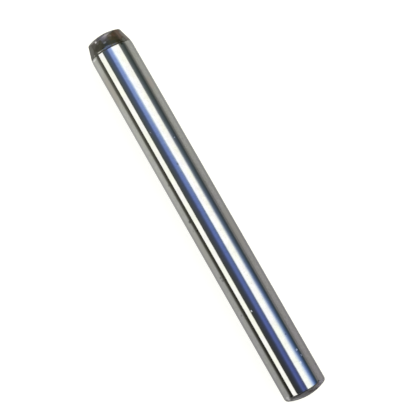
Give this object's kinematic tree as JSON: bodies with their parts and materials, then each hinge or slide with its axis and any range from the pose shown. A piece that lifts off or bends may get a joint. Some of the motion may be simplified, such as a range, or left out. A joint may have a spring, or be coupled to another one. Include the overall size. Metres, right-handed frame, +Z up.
{
  "type": "dowel pin",
  "caption": "Round steel dowel pin: a ground parallel shank with a long chamfered lead-in end, a small rounded end, and crowned end faces.",
  "frame": {"origin": "on the pin's axis, halfway between the tops of its two crowned ends", "axes": "+X along the pin's axis towards the chamfered lead-in end, +Z up as the pin lies on its side, +Y to its left"},
  "size_m": [0.055, 0.006, 0.006],
  "materials": {
    "ground_steel": "ground bright along the shank, with dark hardening scale left on both ends"
  },
  "bodies": {
    "root": {"dowel_pin": "ground_steel"}
  },
  "joints": []
}
